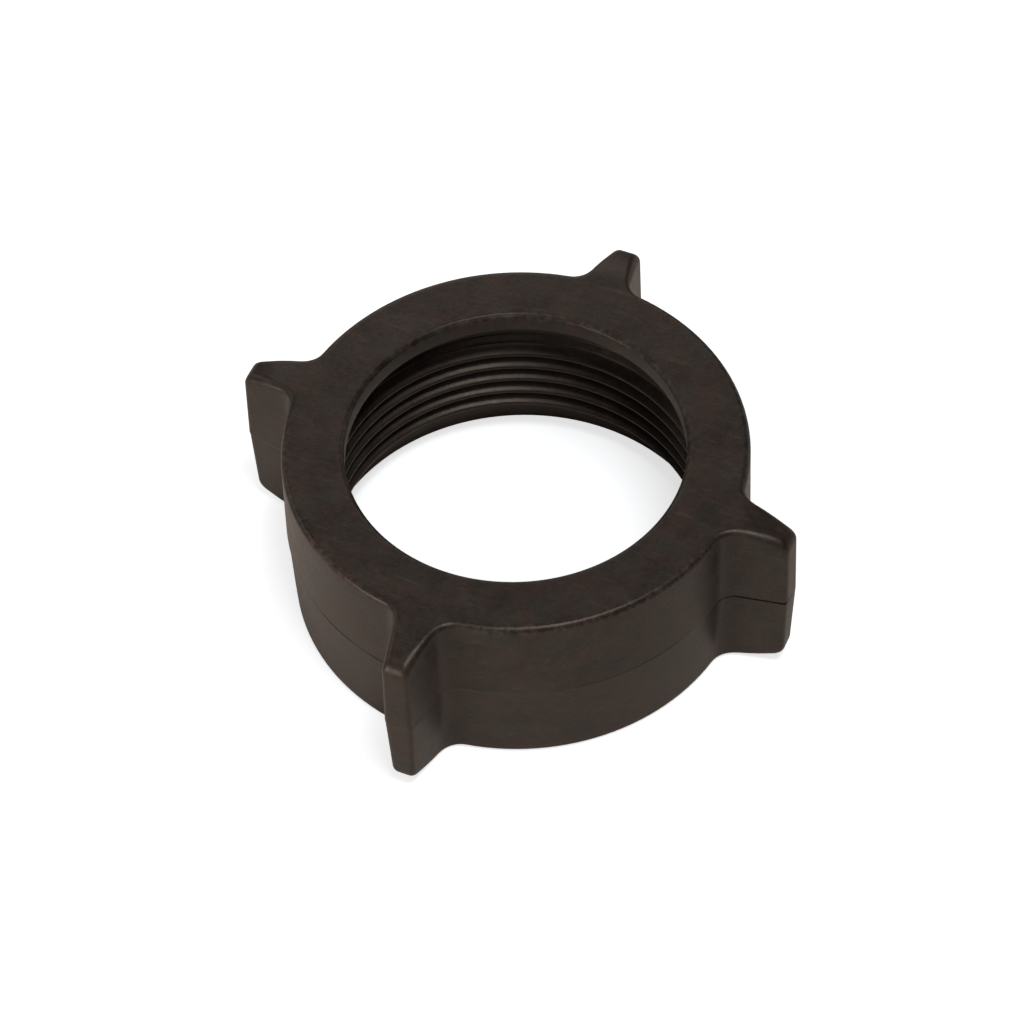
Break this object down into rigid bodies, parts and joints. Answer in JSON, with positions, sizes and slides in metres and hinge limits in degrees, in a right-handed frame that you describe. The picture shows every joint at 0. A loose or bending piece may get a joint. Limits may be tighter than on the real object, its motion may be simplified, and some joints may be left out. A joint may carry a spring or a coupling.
{
  "type": "union nut",
  "caption": "Moulded plastic union nut with lugs for turning by hand, an inside pipe thread, and a lip round the hole that clamps a flanged hose tail to its mate.",
  "frame": {"origin": "on the nut's axis, in the plane of the mouth's rim that it stands on", "axes": "+Z along the axis from the mouth to the lip; the lugs lie along X and Y"},
  "size_m": [0.0712, 0.0712, 0.0242],
  "materials": {
    "nut_plastic": "matt moulded polypropylene, near black with a warm cast"
  },
  "bodies": {
    "root": {"union_nut": "nut_plastic"}
  },
  "joints": []
}
